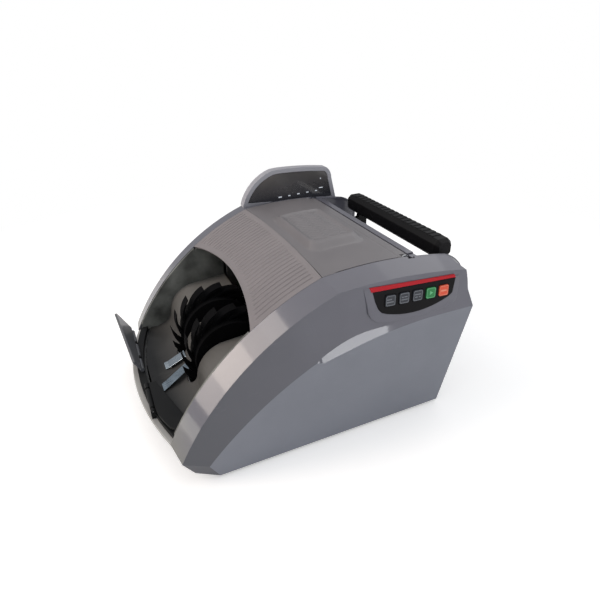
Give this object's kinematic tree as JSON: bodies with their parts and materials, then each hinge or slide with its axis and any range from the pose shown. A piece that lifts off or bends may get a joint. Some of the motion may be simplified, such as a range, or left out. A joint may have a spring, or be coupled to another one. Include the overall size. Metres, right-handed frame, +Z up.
{
  "type": "banknote counting machine",
  "caption": "Desktop banknote counter with a lidded hopper, front stacker wheels, side key panel, upright display and a folding carry handle.",
  "frame": {"origin": "middle of the box, on the surface that the rubber feet stand on", "axes": "+X to the key panel side, +Y from the stacker to the back, +Z up"},
  "size_m": [0.25, 0.3124, 0.1956],
  "materials": {
    "case_plastic": "satin moulded",
    "flap_grey": "satin moulded",
    "dark_plastic": "fine grain",
    "liner_plastic": "satin moulded",
    "black_plastic": "satin moulded",
    "wheel_black": "soft matt",
    "rubber": "matt",
    "red_rubber": "matt",
    "steel": "ground",
    "zinc_plate": "zinc plated",
    "spring_steel": "bright rolled",
    "brass": "turned",
    "window": "tinted",
    "board_green": "solder mask",
    "supply_yellow": "taped winding",
    "key_grey": "printed membrane",
    "key_green": "printed membrane",
    "key_orange": "printed membrane",
    "white_nylon": "moulded",
    "motor_steel": "satin"
  },
  "bodies": {
    "root": {"base_plate": "zinc_plate", "rubber_feet": "rubber", "front_lip": "case_plastic", "side_cover_right": "case_plastic", "side_cover_left": "case_plastic", "arch_cover": "case_plastic", "back_cover": "case_plastic", "case_screws": "steel", "lid_pins": "steel", "hopper_tray": "dark_plastic", "note_stop": "dark_plastic", "display_housing": "case_plastic", "display_window": "window", "display_board": "board_green", "key_panel": "black_plastic", "key_board": "board_green", "handle_pins": "steel", "pocket_liner": "liner_plastic", "pocket_cheek_right": "dark_plastic", "pocket_cheek_left": "dark_plastic", "stop_sill": "dark_plastic", "flap_pins": "steel", "guide_strip_right": "spring_steel", "guide_strip_left": "spring_steel", "frame_plate_right": "zinc_plate", "frame_plate_left": "zinc_plate", "tie_bars": "steel", "shaft_bushes": "brass", "retard_rollers": "red_rubber", "drive_motor": "motor_steel", "drive_belts": "rubber", "counter_sensor": "dark_plastic", "main_board": "board_green", "power_supply": "supply_yellow", "power_inlet": "black_plastic"},
    "lid": {"hopper_lid": "case_plastic"},
    "handle": {"handle_bar": "black_plastic", "handle_arms": "black_plastic"},
    "right_flap": {"stop_flap_right": "dark_plastic"},
    "left_flap": {"stop_flap_left": "flap_grey"},
    "key_1": {"button_1": "key_grey"},
    "key_2": {"button_2": "key_grey"},
    "key_3": {"button_3": "key_grey"},
    "start_key": {"start_button": "key_green"},
    "reset_key": {"reset_button": "key_orange"},
    "rocker": {"power_switch": "black_plastic"},
    "stacker": {"stacker_shaft": "steel", "stacker_wheel_right": "wheel_black", "stacker_wheel_left": "wheel_black", "stacker_pulley": "white_nylon"},
    "feed": {"feed_shaft": "steel", "feed_rollers": "rubber", "feed_pulleys": "white_nylon", "counter_disc": "black_plastic"},
    "pickup": {"pickup_shaft": "steel", "pickup_rollers": "rubber"},
    "exit": {"exit_shaft": "steel", "exit_rollers": "rubber"},
    "pinch": {"pinch_shaft": "steel"},
    "motor": {"motor_pulley": "white_nylon"}
  },
  "joints": [
    {"name": "lid_hinge", "type": "hinge", "parent": "root", "child": "lid", "pos_m": [0, 0.09421, 0.1543], "axis": [1, 0, 0], "range_deg": [-100, 0]},
    {"name": "handle_pivot", "type": "hinge", "parent": "root", "child": "handle", "pos_m": [0, 0.14521, 0.121], "axis": [1, 0, 0], "range_deg": [-80, 0]},
    {"name": "right_flap_hinge", "type": "hinge", "parent": "root", "child": "right_flap", "pos_m": [0, -0.14159, 0.0386], "axis": [1, 0, 0], "range_deg": [0, 119]},
    {"name": "left_flap_hinge", "type": "hinge", "parent": "root", "child": "left_flap", "pos_m": [0, -0.14159, 0.0386], "axis": [1, 0, 0], "range_deg": [-119, 0]},
    {"name": "key_1_press", "type": "slide", "parent": "root", "child": "key_1", "axis": [-0.9958, 0, -0.092], "range_m": [0, 0.0006], "stiffness_N_per_m": 800, "springref_m": -0.0003},
    {"name": "key_2_press", "type": "slide", "parent": "root", "child": "key_2", "axis": [-0.9958, 0, -0.092], "range_m": [0, 0.0006], "stiffness_N_per_m": 800, "springref_m": -0.0003},
    {"name": "key_3_press", "type": "slide", "parent": "root", "child": "key_3", "axis": [-0.9958, 0, -0.092], "range_m": [0, 0.0006], "stiffness_N_per_m": 800, "springref_m": -0.0003},
    {"name": "start_key_press", "type": "slide", "parent": "root", "child": "start_key", "axis": [-0.9958, 0, -0.092], "range_m": [0, 0.0006], "stiffness_N_per_m": 800, "springref_m": -0.0003},
    {"name": "reset_key_press", "type": "slide", "parent": "root", "child": "reset_key", "axis": [-0.9958, 0, -0.092], "range_m": [0, 0.0006], "stiffness_N_per_m": 800, "springref_m": -0.0003},
    {"name": "rocker_tilt", "type": "hinge", "parent": "root", "child": "rocker", "pos_m": [0.071, 0.13395, 0.03849], "axis": [1, 0, 0], "range_deg": [0, 16]},
    {"name": "feed_spin", "type": "hinge", "parent": "root", "child": "feed", "pos_m": [0, 0.01621, 0.101], "axis": [1, 0, 0], "continuous": true},
    {"name": "pickup_spin", "type": "hinge", "parent": "root", "child": "pickup", "pos_m": [0, 0.05921, 0.1135], "axis": [1, 0, 0], "continuous": true},
    {"name": "exit_spin", "type": "hinge", "parent": "root", "child": "exit", "pos_m": [0, -0.00979, 0.093], "axis": [1, 0, 0], "continuous": true},
    {"name": "stacker_spin", "type": "hinge", "parent": "root", "child": "stacker", "pos_m": [0, -0.05679, 0.0585], "axis": [1, 0, 0], "continuous": true},
    {"name": "pinch_spin", "type": "hinge", "parent": "root", "child": "pinch", "pos_m": [0, -0.00779, 0.1106], "axis": [1, 0, 0], "continuous": true},
    {"name": "motor_spin", "type": "hinge", "parent": "root", "child": "motor", "pos_m": [0, 0.07821, 0.053], "axis": [1, 0, 0], "continuous": true}
  ],
  "couplings": [
    {"joint": "pickup_spin", "follows": "feed_spin", "ratio": 1},
    {"joint": "exit_spin", "follows": "feed_spin", "ratio": 1.75},
    {"joint": "stacker_spin", "follows": "feed_spin", "ratio": 0.51042},
    {"joint": "pinch_spin", "follows": "feed_spin", "ratio": -1.9688},
    {"joint": "motor_spin", "follows": "feed_spin", "ratio": 1.875}
  ]
}
